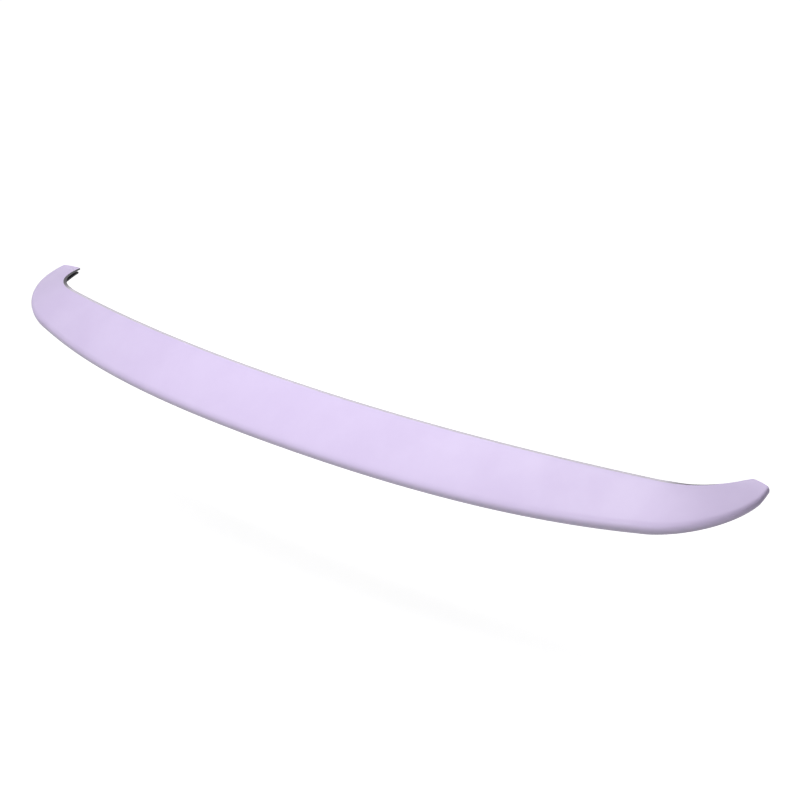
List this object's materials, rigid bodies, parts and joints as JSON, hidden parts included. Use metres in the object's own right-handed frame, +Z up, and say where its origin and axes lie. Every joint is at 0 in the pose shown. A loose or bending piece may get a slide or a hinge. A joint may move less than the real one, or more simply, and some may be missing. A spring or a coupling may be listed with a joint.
{
  "type": "front spoiler",
  "caption": "Slim bowed front spoiler in one skin: sloping crowned face, rounded lower lip turned under at the floor, level top rim and short tapering ends that wrap round the corners.",
  "frame": {"origin": "outer edge of the level top rim, in the middle plane", "axes": "+X along the width, -Y towards the front of the car, +Z up, square to the level top rim"},
  "size_m": [1.5962, 0.2519, 0.0837],
  "materials": {
    "primer": "satin pale lilac primer on the outside",
    "raw_back": "bare dark moulding on the inside and at the trimmed edges"
  },
  "bodies": {
    "root": {"front_spoiler": "primer"}
  },
  "joints": []
}
